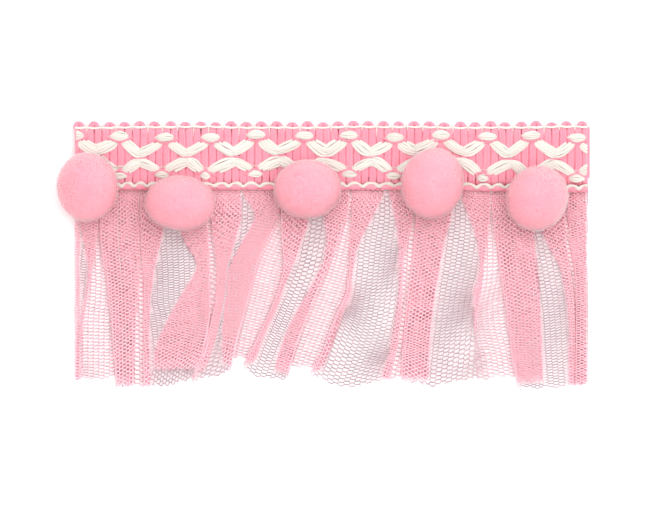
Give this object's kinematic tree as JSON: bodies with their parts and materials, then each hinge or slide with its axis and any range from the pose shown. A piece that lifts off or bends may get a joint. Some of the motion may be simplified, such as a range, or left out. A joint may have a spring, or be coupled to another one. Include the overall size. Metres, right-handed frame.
{
  "type": "pompom fringe trim with a gathered net ruffle",
  "caption": "Cut length of sewing trim lying face up: ribbed gimp heading with cream crosses and picots, gathered net ruffle, and round pompoms along the heading.",
  "frame": {"origin": "middle of the braid's flat back, on the plane that the trim lies on", "axes": "+X along the trim, +Y across it from the ruffle's hem towards the picot edge, +Z out of its face"},
  "size_m": [0.1067, 0.0536, 0.0138],
  "materials": {
    "braid_yarn": "soft satin yarn",
    "cream_yarn": "soft satin yarn",
    "net": "soft open net",
    "pompom_yarn": "short soft pile"
  },
  "bodies": {
    "root": {"braid": "braid_yarn", "ruffle": "net", "pompom_1": "pompom_yarn", "pompom_2": "pompom_yarn", "pompom_3": "pompom_yarn", "pompom_4": "pompom_yarn", "pompom_5": "pompom_yarn"}
  },
  "joints": []
}
